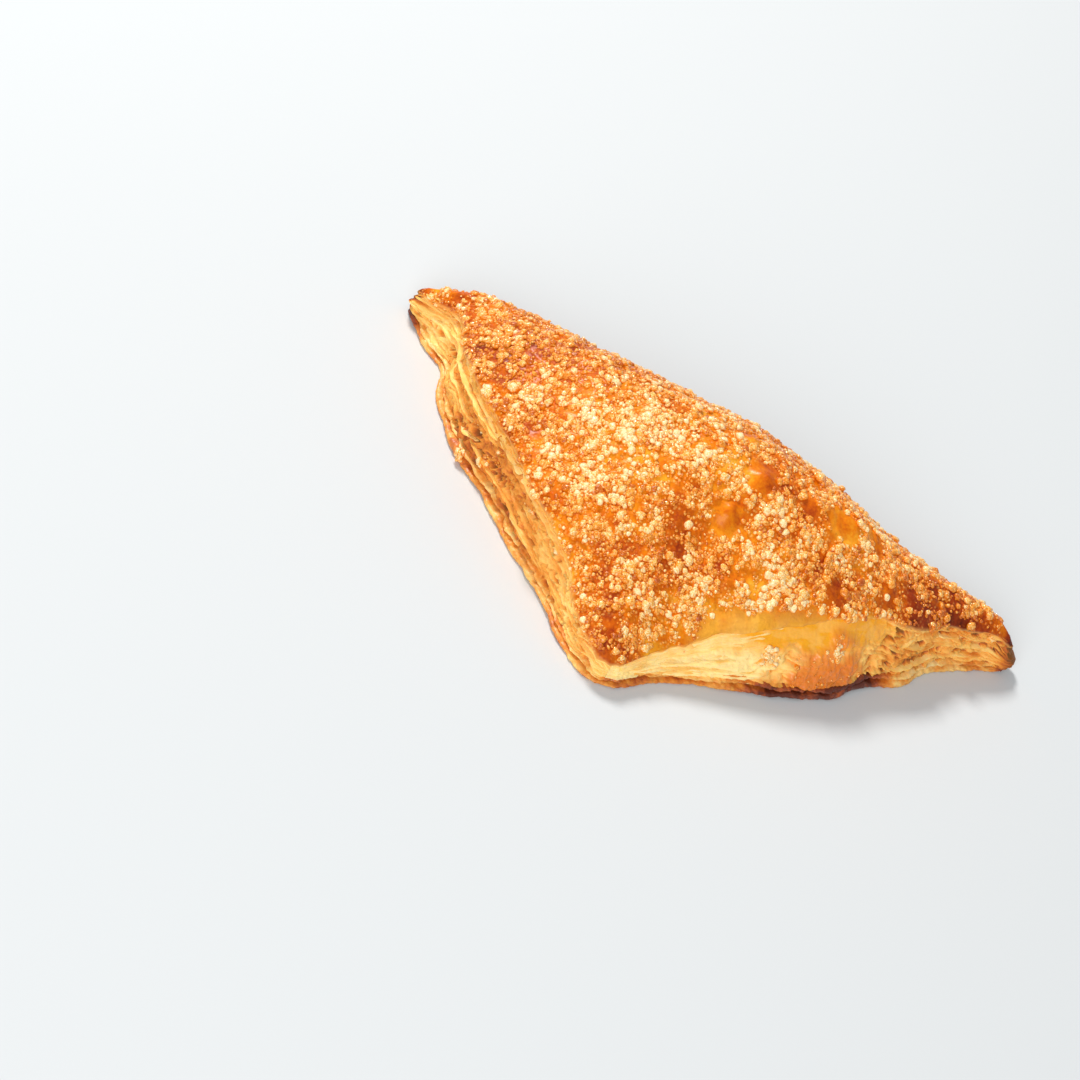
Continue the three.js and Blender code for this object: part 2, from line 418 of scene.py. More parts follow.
def makePiece(name, points, faces, values, places=None):
    mesh = bpy.data.meshes.new(name)
    mesh.from_pydata(toFrame(points).tolist(), [], [list(map(int, face)) for face in faces])
    for key, numbers in values.items():
        attribute = mesh.attributes.new(key, "FLOAT", "POINT")
        attribute.data.foreach_set("value", np.ascontiguousarray(numbers, np.float32))
    if places is not None:  # a flat map of its own
        layer = mesh.uv_layers.new(name="OFBake")
        layer.uv.foreach_set("vector", np.ascontiguousarray(places, np.float32).ravel())
    mesh.polygons.foreach_set("use_smooth", np.ones(len(mesh.polygons), bool))
    piece = bpy.data.objects.new(name, mesh)
    bpy.context.collection.objects.link(piece)
    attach(piece, "root")
    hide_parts("pastry")
    return piece


def tube(sections):  # a long closed body from sections that each run from the top down
    across, around = sections.shape[:2]
    a = np.arange(across - 1)[:, None]
    k = np.arange(around)[None]
    after = (k + 1) % around
    row, nextRow = a * around, (a + 1) * around
    faces = np.stack([row + k, row + after, nextRow + after, nextRow + k], -1)
    # Its map: along the body, and round it.
    u = np.stack([a + 0 * k, a + 0 * k, a + 1 + 0 * k, a + 1 + 0 * k], -1) / (across - 1)
    v = np.stack([k + 0 * a, k + 1 + 0 * a, k + 1 + 0 * a, k + 0 * a], -1) / around
    places = np.stack([u, v], -1).reshape(-1, 2)
    ends = [list(range(around))[::-1], list(range((across - 1) * around, across * around))]
    speck = np.random.default_rng(1).random((2 * around, 2)) * 1e-3  # the hidden ends share a corner
    return list(faces.reshape(-1, 4)) + ends, np.concatenate([places, speck])


tipGaps = [np.linalg.norm(columns["at"] - end, axis=1) for end in tipEnds]
fromTips = np.minimum(*tipGaps)
room = smooth(fromTips, 3, 18)  # 0 at the sharp tips, where there is little room inside
outlinePlaces = np.column_stack([columns["at"], columns["rim"]])
lipThick = crust["lip"] * (1 + 0.5 * wander(outlinePlaces, 7, 11)) * blend(0.7, 1, room)
lipRagged = crust["lipRagged"] * (1 - columns["foldness"]) * ripples(outlinePlaces, crust["raggedBy"])


def crustSections():  # inset and height of every ring, from the rim down to the underside
    rim, lean = columns["rim"], columns["lean"]
    tuck = blend(crust["tipTuck"], crust["tuck"], room)
    behind = blend(0.5, 2.6, room)
    keys = [
        (lean, rim),
        (lean - 0.25 + lipRagged * 0.5, rim - 0.2 * lipThick),
        (lean - 0.42 + lipRagged, rim - 0.52 * lipThick),
        (lean - 0.34 + lipRagged, rim - 0.82 * lipThick),
        (lean + 0.1 + lipRagged * 0.7, rim - 1.02 * lipThick),
        (lean + 0.5 * behind, rim - 1.12 * lipThick),
        (lean + behind, rim - 1.3 * lipThick),
        (tuck + 0 * lean, 0.16 * rim),
        (tuck + 0 * lean, 0 * rim),
    ]
    lastRing = crust["foldRings"] - 1
    stations = np.array(crust["stations"]) * lastRing
    insets, heights = [], []
    for k in range(crust["foldRings"]):
        i = min(int(np.searchsorted(stations, k, "right")) - 1, len(keys) - 2)
        share = (k - stations[i]) / (stations[i + 1] - stations[i])
        onFold = foldProfile(blend(topAngle, -math.pi / 2, k / lastRing))
        for kept, before, after, fold in zip((insets, heights), keys[i], keys[i + 1], onFold):
            kept.append(blend(blend(before, after, share), fold, columns["foldness"]))
    return np.array(insets), np.array(heights)


brownSpots = [  # x, y, radius, strength
    (57, 20, 10, 1), (49, 14.5, 6, 0.7), (66, 27, 8, 0.85), (72, 33, 6, 0.7), (45, 18, 6, 0.5),
    (62, 31, 7, 0.5), (-2, -41, 6, 0.8), (-5, -35, 5, 0.4), (-54, 15, 9, 0.6), (-48, 19, 7, 0.35),
    (-72, 33, 5, 0.5), (-12, -14, 8, 0.35), (0, -13, 8, 0.4), (-13, -22, 7, 0.35), (9, -12, 6, 0.35),
    (-4, -30, 7, 0.15), (33, 4, 5, 0.5), (40, 6, 6, 0.45), (11, 12, 5, 0.4), (8, 4, 5, 0.35),
    (27, 27, 8, 0.4), (-30, 26, 8, 0.3), (44, 24, 7, 0.45), (22, 14, 5, 0.3), (2, 25, 7, 0.25),
    (-62, 20, 13, 0.9), (-45, 32, 7, 0.5), (-58, 36, 7, 0.5), (-33, 33, 6, 0.4), (-50, 6, 8, 0.4),
    (-40, 18, 9, 0.35), (-46, -2, 6, 0.3), (-32, -18, 7, 0.3),
]
paleSpots = [
    (-30, 8, 18, 0.55), (-15, 0, 12, 0.8), (-5, 14, 12, 0.6), (-45, 3, 9, 0.5), (18, 5, 6, 0.6),
    (22, -5, 9, 1), (30, -5, 5, 0.6), (0, -27, 7, 0.3), (-28, -12, 9, 0.4), (-62, 24, 6, 0.4),
    (13, -17, 6, 0.4), (45, 4, 5, 0.5),
]
bareSpots = [  # x, y, radius, how bare
    (5.8, -0.8, 4.2, 1), (8.5, 11, 5, 0.9), (-3.3, -9.3, 2.6, 0.6), (2, 21.5, 3.4, 0.6),
    (56, 19, 8, 0.47), (49, 14, 5, 0.5), (66, 27, 8, 0.5), (73, 33, 7, 0.5), (-2, -42, 5, 0.5),
    (-5, -36, 4, 0.45), (36, 2, 3.4, 0.8), (30, 16, 5, 0.85), (-74, 37, 5, 0.5), (20, 6, 3, 0.45),
    (-54, 16, 6, 0.35), (-42, -2, 3, 0.5), (12, -26, 3, 0.6), (40, 22, 4, 0.55), (22, 14, 3.4, 0.8),
    (17, -22.5, 4.4, 1), (22, -18.5, 5.8, 1), (27, -15, 6, 1), (32.5, -11, 5.8, 1), (38, -6.5, 5, 1),
    (42, -3.5, 4, 0.8), (-12, -14, 3, 0.5), (2, -14, 3, 0.5), (14, -10, 2.6, 0.6), (-80, 42, 5, 1),
    (82, 42, 6, 1),
]


def bareness(points):  # 1 where no sugar lies
    return smooth(patches(points, bareSpots), 0.15, 0.55)


baking = {
    "middle": 0.47,
    "unevenness": [(16, 21, 2, 0.2), (3.5, 22, 3, 0.16)],
    "brownAndShade": 0.36,
    "pale": 0.17,
    "tips": [(0.85, 6), (0.5, 8)],  # how much and how far from the left and the right tip
    "lip": 0.12,
}


def browning(points):  # 0 pale dough, 0.5 golden orange, 1 dark brown
    flat = points[:, :2]
    found = baking["middle"] + ripples(points, baking["unevenness"])
    found += baking["brownAndShade"] * patches(flat, brownSpots) - baking["pale"] * patches(flat, paleSpots)
    for end, (amount, reach) in zip(tipEnds, baking["tips"]):
        found += amount * smooth(-np.linalg.norm(flat - end, axis=1), -reach, -1)
    return found


def makeCrust():
    insets, heights = crustSections()
    lastRing = crust["foldRings"] - 1
    wave = ripples(outlinePlaces, crust["foldWaves"]) * columns["foldness"]
    insets = insets + wave * smooth(heights, 1, 6)
    rings = np.stack([
        np.column_stack([stepIn(inset), height]) for inset, height in zip(insets, heights)
    ])
    rings[0] = rimLoop
    skin = rings[1:-1].reshape(-1, 3)
    wrinkle = ripples(skin * (0.4, 0.4, 1), crust["foldWrinkles"])
    wrinkle *= np.tile(columns["foldness"], len(rings) - 2)
    skin[:, :2] -= np.tile(columns["outward"], (len(rings) - 2, 1)) * wrinkle[:, None]
    ringPoints = np.concatenate([rings[0], skin, rings[-1]])
    top, topFaces, topSource = fillLoop(rimLoop[:, :2], crust["grid"], crust["rimMargin"])
    topHeight = domeHeights(top)
    under, underFaces, underSource = fillLoop(rings[-1][:, :2], crust["underSpacing"], 1)
    points = [ringPoints]
    indices = []
    used = len(ringPoints)
    for places, source, height, ring in (
        (top, topSource, topHeight, 0),
        (under, underSource, 0 * under[:, 0], lastRing),
    ):
        index = np.empty(len(places), int)
        for j, sources in enumerate(source):
            onLoop = [k for k in sources if k < count]
            index[j] = ring * count + onLoop[0] if onLoop else -1
        inside = index < 0
        index[inside] = used + np.arange(inside.sum())
        used += inside.sum()
        points.append(np.column_stack([places, height])[inside])
        indices.append(index)
    points = np.concatenate(points)
    faces, maps = [], []
    spread = points[:, :2] / crust["mapWidth"] + (0.5, 0.66)
    for triangles, index, upward, (scale, shift) in (
        (topFaces, indices[0], True, crust["topMap"]),
        (underFaces, indices[1], False, crust["underMap"]),
    ):
        corners = index[np.array(triangles)]
        a, b, c = [points[corners[:, k], :2] for k in range(3)]
        turn = (b[:, 0] - a[:, 0]) * (c[:, 1] - a[:, 1]) - (b[:, 1] - a[:, 1]) * (c[:, 0] - a[:, 0])
        wrong = (turn < 0) == upward
        corners[wrong] = corners[wrong][:, ::-1]
        faces += list(corners)
        maps.append(spread[corners.ravel()] * scale + shift)
    faces += list(ringFaces(crust["foldRings"], count))
    a = np.tile(np.arange(count), lastRing)
    r = np.repeat(np.arange(lastRing), count)
    u = np.stack([a, a, a + 1, a + 1], 1) / count
    v = np.stack([r, r + 1, r + 1, r], 1) / lastRing
    scale, shift = crust["foldMap"]
    maps.append(np.stack([u, shift + scale * v], -1).reshape(-1, 2))
    bake = browning(points)
    onCut = np.zeros(len(points))
    onCut[: len(ringPoints)] = np.tile(1 - columns["foldness"], crust["foldRings"])
    lipRings = np.repeat(np.arange(crust["foldRings"]), count)
    lipShare = np.zeros(len(points))
    lipShare[: len(ringPoints)] = smooth(lipRings, 1, 6)
    bake -= baking["lip"] * onCut * lipShare
    glassy = patches(points[:, :2], crust["glassy"]) * smooth(points[:, 2], 8, 11)
    sugary = np.maximum(1 - bareness(points[:, :2]), 0.7 * glassy)
    values = {"bake": bake, "lip": onCut * lipShare, "glassy": glassy, "sugary": sugary}
    points = bendTips(points)
    return makePiece("crust", points, faces, values, np.concatenate(maps)), points, faces


crustPiece, crustPoints, crustFaces = makeCrust()
print("crust of", len(crustFaces), "faces")


def stripOf(beyond):  # the columns of both cut sides in order, and some of the fold past each tip
    cut = np.flatnonzero(columns["side"] != foldSide)
    extra = int(beyond / form["columnStep"])
    return np.arange(cut[0] - extra, cut[-1] + extra + 1) % count


def fadeEnds(total, width):  # 0 at both ends of a strip, 1 away from them
    run = np.arange(total) * form["columnStep"]
    return smooth(np.minimum(run, run[::-1]), 0, width)


def shareOnCuts(strip):  # 0 to 1 along the left cut and 1 to 2 along the right one
    side, share = columns["side"][strip], columns["share"][strip]
    beyond = np.where(np.arange(len(strip)) < len(strip) / 2, 0, 2)
    return np.where(side == foldSide, beyond, share + (side == rightSide))


def window(at, start, end, ease):  # 1 between start and end, eased outside them
    return smooth(at, start - ease, start + ease) * smooth(-at, -end - ease, -end + ease)


def windows(at, places):  # several of them together, each (start, end, ease, amount)
    return sum(amount * window(at, start, end, ease) for start, end, ease, amount in places)


def tipBrown(strip):  # how much the last millimetres of both tips are burnt
    near = sum(smooth(-gap[strip], -reach, -0.5) for gap, reach in zip(tipGaps, tip["burnt"]))
    return tip["burntBy"] * near


leaves = {
    "beyond": 9,
    "depth": 5,
    "endInset": 2.4,
    "raggedBy": [(6, 0, 3, 1.7), (1.2, 1, 3, 0.4)],  # each (size, seed, octaves, amount)
    "bakedBy": [(7, 7, 3, 0.3), (1.2, 8, 2, 0.12)],
    # Browner and paler lengths: start and end along the cuts, easing, how much.
    "browningAndShade": [
        (-0.02, 0.09, 0.02, 0.3), (1.33, 1.63, 0.05, 0.55), (1, 1.1, 0.04, 0.12),
        (1.66, 1.84, 0.03, -0.16),
    ],
    # One entry for each leaf: how far in its nose stands, its foot and its thickness, both as
    # shares of leafScale, how far it lifts in places, how ragged its nose is, how brown it is.
    "layers": [
        {
            "name": "lower_leaf", "inset": 0.15, "foot": 0, "thick": 1.35, "lift": 0.6,
            "ragged": 0.35, "bake": 0.5,
        },
        {
            "name": "second_leaf", "inset": 1.1, "foot": 1.6, "thick": 0.85, "lift": 1.08,
            "ragged": 0.6, "bake": 0.4,
        },
    ],
}


def leafScale(strip):  # leaves are thinner where the pastry is low
    return np.clip(columns["rim"][strip] / 15, 0.62, 1.1)


def makeLeaf(layer, seed):
    strip = stripOf(leaves["beyond"])
    scale = leafScale(strip)
    places = outlinePlaces[strip]
    lengthwise = np.column_stack([columns["run"][strip], 0 * scale, 0 * scale])
    ends = fadeEnds(len(strip), 7)
    inside = blend(0.35, 1, room[strip])
    nose = layer["inset"] + (1 - ends) * leaves["endInset"]
    nose += layer["ragged"] * ripples(places, leaves["raggedBy"], seed)
    nose = np.maximum(nose, 0)
    thick = layer["thick"] * scale * (1 + 0.55 * wander(lengthwise, 5, seed + 2, 3))
    raised = np.maximum(0, wander(lengthwise, 13, seed + 3, 2) + 0.15)
    foot = layer["foot"] * scale + layer["lift"] * raised
    back = nose + leaves["depth"] * inside
    keys = [  # inset from the nose and height, from the back of the top down to the underside
        (back - nose, 1.12), (2.2 * inside, 1.06), (1.1 * inside, 1), (0.5, 0.94), (0.16, 0.78),
        (0, 0.55), (0.05, 0.36), (0.2, 0.16), (0.5, 0.04), (1.1 * inside, 0), (2.4 * inside, 0),
        (back - nose, 0),
    ]
    sections = []
    for inset, height in keys:
        sections.append(np.column_stack([stepIn(nose + inset, strip), foot + height * thick]))
    sections = np.stack(sections, 1)
    grain = wander(sections.reshape(-1, 3) * (1, 1, 2.4), 1.1, seed + 5, 3).reshape(sections.shape[:2])
    push = np.array([0, 0.3, 0.6, 1, 1, 1, 1, 0.8, 0.3, 0, 0, 0]) * 0.22
    sections[..., :2] += columns["outward"][strip][:, None] * (grain * push)[..., None]
    sections[..., 2] += grain * np.array([0, 0.5, 1, 1, 0.5, 0, 0, 0, 0, 0, 0, 0]) * 0.16
    sections[..., 2] = np.maximum(sections[..., 2], 0)
    faces, flat = tube(sections)
    points = sections.reshape(-1, 3)
    at = shareOnCuts(strip)
    bake = layer["bake"] + ripples(points, leaves["bakedBy"], seed)
    dark = windows(at, leaves["browningAndShade"]) + 0.25 * smooth(-at, -0.14, 0) + tipBrown(strip)
    bake += np.repeat(dark, len(keys))
    return makePiece(layer["name"], points, faces, {"bake": bake}, flat)


leafPieces = [makeLeaf(layer, 40 + 10 * i) for i, layer in enumerate(leaves["layers"])]
print("leaves of", sum(len(piece.data.polygons) for piece in leafPieces), "faces")

sides = {
    "beyond": 7,
    "rows": 60,
    "foot": 2.3,  # height of the hidden lower end, as a share of leafScale
    "footInset": 1.7,
    "behindRim": 0.9,
    "layers": 8,
    "fanLayers": 15,
    "edgeDepth": 0.8,
    "fanDepth": 0.42,
    "shift": 1.5,  # how far whole layers stand before or behind their neighbours
    "holeSize": (2.8, 1.45),
    "holeDepth": 2.1,
    "deepest": 2.8,
    "tipReach": 10,  # from here to a tip the side closes between the leaf's edge and the top's
    "tipFoot": (-0.3, 0.3),  # at the left and the right tip
    "tipSwell": (0.1, 2),
    "hidden": (0.6, 2.2),  # how far in the hidden rows stand, at the tips and away from them
    # Lengths of the cuts: start, end, easing, how much.
    "comb": [(1.6, 2.1, 0.04, 1), (-0.1, 0.24, 0.04, 1), (0.3, 0.95, 0.06, 0.75)],  # open crumb
    "browningAndShade": [(0.24, 0.7, 0.08, 0.16), (1.62, 2.1, 0.05, 0.1), (0.42, 0.7, 0.06, 0.06)],
    # Swells and cracks: place along the cuts and its reach, share of the height and its reach,
    # how far out, and how much darker: cracks are painted darker, painted shade, and swells a little
    # paler.
    "marks": [
        (1.25, 0.12, 0.32, 0.2, 1.5, -0.06), (1.2, 0.13, 0.63, 0.05, -0.9, 0.26),
        (1.895, 0.035, 0.62, 0.04, -1.3, 0.5), (1.8, 0.03, 0.8, 0.07, -1.2, 0.3),
        (0.07, 0.02, 0.78, 0.06, -1.3, 0.55), (0.28, 0.05, 0.34, 0.2, 1.3, -0.08),
        (0.215, 0.03, 0.5, 0.08, -1.3, 0.3), (0.5, 0.16, 0.62, 0.09, -0.9, 0.1),
        (0.62, 0.2, 0.3, 0.1, 0.5, -0.04), (1.7, 0.05, 0.3, 0.12, -0.8, 0.2),
        (0.3, 0.22, 0.68, 0.07, 0.7, -0.04), (0.35, 0.25, 0.45, 0.08, -0.8, 0.1),
        (0.12, 0.08, 0.5, 0.12, 0.5, -0.1),
    ],
}


def voronoi(places):  # distance to the nearest cell wall, and a number of each cell's own
    wall, own = np.empty(len(places)), np.empty(len(places))
    for i, place in enumerate(places):
        distances, centres = noise.voronoi(Vector(place))
        wall[i] = distances[1] - distances[0]
        own[i] = noise.cell(centres[0] * 3.7) % 1
    return wall, own


def makeSides():
    strip = stripOf(sides["beyond"])
    scale, rim, lean = leafScale(strip), columns["rim"][strip], columns["lean"][strip]
    at = shareOnCuts(strip)[:, None]
    v = np.linspace(0, 1, sides["rows"])[None]
    low = (sides["foot"] * scale)[:, None]
    high = (rim - 0.75 * lipThick[strip])[:, None]
    height = blend(low, high, v)
    inset = blend(sides["footInset"], (lean + sides["behindRim"])[:, None], v**1.15)
    run = columns["run"][strip][:, None] + 0 * v
    flat = np.stack([run, height, 0 * run], -1)

    def waves(size, seed, octaves, stretch=(1, 1, 1), places=None):
        chosen = flat if places is None else places
        return wander(chosen.reshape(-1, 3) * stretch, size, seed, octaves).reshape(run.shape)

    fan = window(at, 1.0, 1.34, 0.05) + 0 * v  # thin pale layers that spread from the corner
    comb = windows(at, sides["comb"]) + 0 * v
    # The glazed top runs down the side here.
    spill = window(at + 0.07 * (0.5 - v) + 0.07 * waves(5, 60, 3), 1.4, 1.56, 0.04)
    spill = np.clip(spill * smooth(1.1 - v + 0.5 * waves(6, 69, 2), 0.25, 0.7), 0, 1)
    yolk = window(at, 1.27, 1.63, 0.05) * smooth(v + 0.15 * waves(5, 68, 2), 0.5, 0.7)
    yolk = np.clip(yolk + 0.4 * window(at, 0.2, 0.95, 0.1) * smooth(v, 0.86, 0.97), 0, 1)
    plain = np.clip(1 - spill - 0.9 * yolk, 0, 1)

    # Cracks are painted darker, painted shade in them, and swells a little paler.
    marks, browningAndShade = 0 * run, 0 * run
    for place, reach, share, spread, out, brownAndShade in sides["marks"]:
        here = np.exp(-(((at - place) / reach) ** 2) - ((v - share) / spread) ** 2)
        marks += out * here
        browningAndShade += brownAndShade * here

    warp = waves(2.6, 61, 3, (0.3, 1, 1))
    level = v * blend(sides["layers"], sides["fanLayers"], fan) + warp * blend(1.5, 0.8, fan)
    level += 0.5 * waves(9, 62, 2)
    layer, within = np.floor(level), level % 1
    own = [waves(6, 63, 2, places=np.stack([run, (layer + k) * 23.7, 0 * run], -1)) for k in (0, 1)]
    step = blend(own[0], own[1], smooth(within, 0.72, 1))
    edge = np.sin(np.pi * within) ** 0.6 - 1
    depth = blend(sides["edgeDepth"], sides["fanDepth"], fan)
    push = (sides["shift"] * blend(1, 0.5, fan) * step + depth * edge) * plain * np.where(at < 1, 0.7, 1)

    cells = flat[..., :2] / sides["holeSize"] + 0.55 * np.stack([warp, step], -1)
    wall, number = voronoi(np.concatenate([cells, 0 * run[..., None]], -1).reshape(-1, 3))
    deep = smooth(number.reshape(run.shape), 0.3, 0.65)
    hole = smooth(wall.reshape(run.shape), 0.04, 0.26) * comb * plain
    push -= hole * (0.25 + sides["holeDepth"] * deep)
    push += 0.22 * waves(1, 64, 3) * blend(0.4, 1, plain)
    push += spill * (1.3 * np.sin(np.pi * v) ** 0.6 + 0.8 * waves(3, 65, 3) + 0.5 * waves(1.3, 70, 2))
    push = np.clip(push + 0.4 * yolk, -sides["deepest"], 2)
    ends = fadeEnds(len(strip), 6)[:, None]
    push *= blend(0.4, 1, room[strip])[:, None] * blend(0.2, 1, ends)
    nearTip = smooth(-fromTips[strip], -sides["tipReach"], -2)[:, None]
    foot, swell = [np.where(at < 1, *sides[key]) for key in ("tipFoot", "tipSwell")]
    closed = blend(foot, (lean - 0.2)[:, None], v) - swell * np.sin(np.pi * v) ** 0.7
    broad = blend(inset, closed, nearTip) - marks * blend(0.5, 1, room[strip])[:, None] + (1 - ends) * 1.6
    inset = broad - push
    lift = 0.18 * waves(1.4, 66, 2) * np.sin(np.pi * v)

    behind = blend(*sides["hidden"], room[strip])[:, None]
    insets = np.concatenate([inset[:, :1] + behind, inset, inset[:, -1:] + behind], 1)[:, ::-1]
    heights = np.concatenate([height[:, :1], height + lift, height[:, -1:]], 1)[:, ::-1]
    plan = columns["at"][strip][:, None] - columns["outward"][strip][:, None] * insets[..., None]
    sections = bendTips(np.concatenate([plan, heights[..., None]], -1))
    faces, places = tube(sections)

    def everyRow(field):  # the same field with the two hidden rows, from the top down
        field = field + 0 * v
        return np.concatenate([field[:, :1], field, field[:, -1:]], 1)[:, ::-1].ravel()

    # Painted shade: the cut sides are painted darker in recesses, in the holes of the crumb and in the
    # grooves between layers, where shade falls.
    recess = np.clip(-push / 1.8, 0, 1)
    bake = 0.2 + 0.14 * waves(10, 67, 2) + 0.1 * step * plain + browningAndShade
    bake += 0.3 * recess + np.where(at < 1, 0.3, 0.8) * hole * deep * smooth(recess, 0.2, 0.8)
    # The fan is painted paler: partly the cream of its thin layers, partly painted light for the front
    # side, which the lamps light less; its recesses keep their painted shade.
    bake += 0.12 * smooth(-edge, 0.3, 1) * plain - 0.38 * fan * (1 - 0.7 * recess)
    # Painted shade: darker over the lower half of the left cut, and along the lowest rows of both cuts,
    # in the corner above the leaves.
    bake += 0.14 * window(at, 0.3, 0.85, 0.06) * smooth(-v, -0.45, -0.05)
    bake += (0.25 + 0.35 * smooth(-v, -0.5, -0.1)) * spill + 0.08 * smooth(-v, -0.12, 0)
    bake += windows(at, sides["browningAndShade"]) + tipBrown(strip)[:, None]
    values = {"bake": everyRow(bake), "yolk": everyRow(yolk), "spill": everyRow(spill)}
    piece = makePiece("cut_sides", sections.reshape(-1, 3), faces, values, places)
    return piece, sections, spill, strip, broad, height


sidePiece, sideSections, spillMask, sideStrip, sideInset, sideHeight = makeSides()
print("cut sides of", len(sidePiece.data.polygons), "faces")

strands = {
    "depth": 2.6,
    "thick": 0.5,
    "fade": 4,
    # Start and end along the cuts, share of the side's height at both, how far out, how brown.
    "placed": [
        (1.012, 1.4, 0.9, 0.97, 0.5, 0.06), (1.015, 1.37, 0.78, 0.9, 0.75, 0.02),
        (1.02, 1.36, 0.66, 0.82, 0.85, 0.0), (1.025, 1.32, 0.56, 0.73, 0.7, 0.05),
        (1.05, 1.3, 0.4, 0.44, 0.25, 0.04), (1.07, 1.34, 0.26, 0.28, 0.3, 0.06),
        (1.06, 1.24, 0.15, 0.14, 0.3, 0.12), (1.12, 1.3, 0.5, 0.54, 0.2, 0.02),
        (0.01, 0.2, 0.86, 0.7, 0.5, 0.12), (0.02, 0.26, 0.6, 0.42, 0.8, 0.12),
        (0.1, 0.42, 0.93, 0.86, 0.35, 0.1), (0.14, 0.5, 0.66, 0.72, 0.9, 0.16),
        (0.3, 0.62, 0.84, 0.8, 0.5, 0.06), (0.42, 0.86, 0.2, 0.25, 0.6, 0.3),
        (0.5, 0.93, 0.9, 0.85, 0.45, 0.14), (0.62, 0.97, 0.55, 0.5, 0.4, 0.22),
        (1.6, 1.82, 0.93, 0.86, 0.4, 0.2), (1.66, 1.94, 0.52, 0.5, 0.35, 0.2),
        (1.62, 1.9, 0.14, 0.2, 0.5, 0.16), (1.8, 1.97, 0.76, 0.7, 0.35, 0.35),
    ],
    # How many, first and last place, shortest and longest, lowest and highest, how far out.
    "scattered": [
        (16, 0.04, 0.86, 0.06, 0.2, 0.12, 0.92, 0.7), (12, 1.6, 1.88, 0.04, 0.12, 0.12, 0.9, 0.5),
        (7, 1.06, 1.34, 0.05, 0.14, 0.1, 0.5, 0.35),
    ],
}


def strandList():
    draw = np.random.default_rng(5)
    wanted = list(strands["placed"])
    for number, first, last, shortest, longest, low, high, out in strands["scattered"]:
        for _ in range(number):
            start = draw.uniform(first, last)
            share = draw.uniform(low, high)
            wanted.append((
                start, start + draw.uniform(shortest, longest), share,
                np.clip(share + draw.normal(0, 0.08), low, high),
                out * draw.uniform(0.4, 1), draw.uniform(0.05, 0.4),
            ))
    return wanted


def makeStrands():  # thin loose edges of layers, which stand off the sides
    at = shareOnCuts(sideStrip)
    outline = [  # share of the depth and share of the thickness, from the back of the top
        (1, 0.5), (0.5, 0.5), (0.16, 0.44), (0.04, 0.28), (0, 0),
        (0.04, -0.28), (0.16, -0.44), (0.5, -0.5), (1, -0.5),
    ]
    draw = np.random.default_rng(6)
    wanted = strandList()
    points, faces, places, bakes = [], [], [], []
    used = 0
    for number, (start, end, first, last, out, brownAndShade) in enumerate(wanted):
        here = np.flatnonzero((at >= start) & (at <= end))[::2]
        strip = sideStrip[here]
        share = np.linspace(0, 1, len(here))
        run = columns["run"][strip]
        line = np.column_stack([run, 0 * run + number * 31, 0 * run])
        v = blend(first, last, smooth(share, 0, 1)) + 0.035 * wander(line, 6, 90, 2)
        row = np.clip(v, 0.02, 0.98) * (sides["rows"] - 1)
        low, part = row.astype(int), row % 1
        wall, level = [
            blend(field[here, low], field[here, low + 1], part) for field in (sideInset, sideHeight)
        ]
        fade = smooth(np.minimum(share, 1 - share) * (run[-1] - run[0]), 0, strands["fade"])
        stand = blend(-0.6, out, fade) * blend(0.5, 1, room[strip])
        nose = wall - stand + 0.35 * wander(line, 3, 91, 3) + 0.15 * wander(line, 0.9, 92, 2)
        thick = strands["thick"] * blend(0.5, 1, fade) * (1 + 0.5 * wander(line, 3, 93, 2))
        curl = draw.uniform(-0.5, 0.35)
        depth = strands["depth"] * blend(0.4, 1, room[strip])
        sections = []
        for back, up in outline:
            z = level + up * thick + curl * (1 - back) ** 2 * fade
            sections.append(np.column_stack([stepIn(nose + back * depth, strip), z]))
        sections = bendTips(np.stack(sections, 1))
        made, flat = tube(sections)
        body = sections.reshape(-1, 3)
        points.append(body)
        faces += [np.array(face) + used for face in made]
        places.append((flat + (0, number)) / (1, len(wanted)))
        bake = brownAndShade + 0.22 * wander(body, 4, 94, 3) + np.repeat(tipBrown(strip), len(outline))
        bakes.append(bake + 0.1 * np.tile([0, 0, 0.3, 1, 1, 1, 0.3, 0, 0], len(here)))
        used += len(body)
    return makePiece(
        "loose_layers", np.concatenate(points), faces, {"bake": np.concatenate(bakes)},
        np.concatenate(places),
    )


strandPiece = makeStrands()
print("loose layers of", len(strandPiece.data.polygons), "faces")

sugar = {
    # Each kind has its number of grains, their size and its spread, the least gap as a share of
    # the size, how amber they are and how finely they are divided.
    "clumps": {
        "name": "sugar_clumps", "number": 1800, "size": 1.27, "spread": 0.38, "gap": 0.42,
        "amber": 0.2, "fine": 2,
    },
    "kinds": [
        {
            "name": "sugar_pale", "number": 2200, "size": 1.3, "spread": 0.34, "gap": 0.5,
            "amber": 0.4, "fine": 2,
        },
        {
            "name": "sugar_amber", "number": 2100, "size": 1.1, "spread": 0.3, "gap": 0.45,
            "amber": 0.62, "fine": 2,
        },
        {
            "name": "sugar_small", "number": 8400, "size": 0.67, "spread": 0.25, "gap": 0.45,
            "amber": 0.5, "fine": 1,
        },
    ],
    "sizesDrawn": 997,
    "largest": 2.1,
    "shapes": 14,
    "boxiness": 3.6,
    # Bare and covered parts of the top: noise size, seed and octaves, its range, the least share.
    "uneven": [(6, 71, 3, -0.35, 0.1, 0.25), (2.4, 75, 2, -0.25, 0.1, 0.12)],
    "onSpill": 0.05,
    "stray": 0.004,
    # Clusters stuck to the cut sides: x, y, z, radius, how dense.
    "onSide": [
        (29.7, -13.2, 7.4, 4, 1), (34.4, -10.4, 5.2, 2.6, 0.7), (42.6, -1.4, 9.3, 3.8, 1),
        (-49.4, -5, 6.6, 3.2, 1),
    ],
    "onLeaf": [(-54.2, -1.7, 2.4, 0.75, 16)],  # x, y, z, spread, how many
    "proud": 0.02,  # how far the middle of a grain stands off the crust, as a share of its size
    "flattened": 0.3,
}
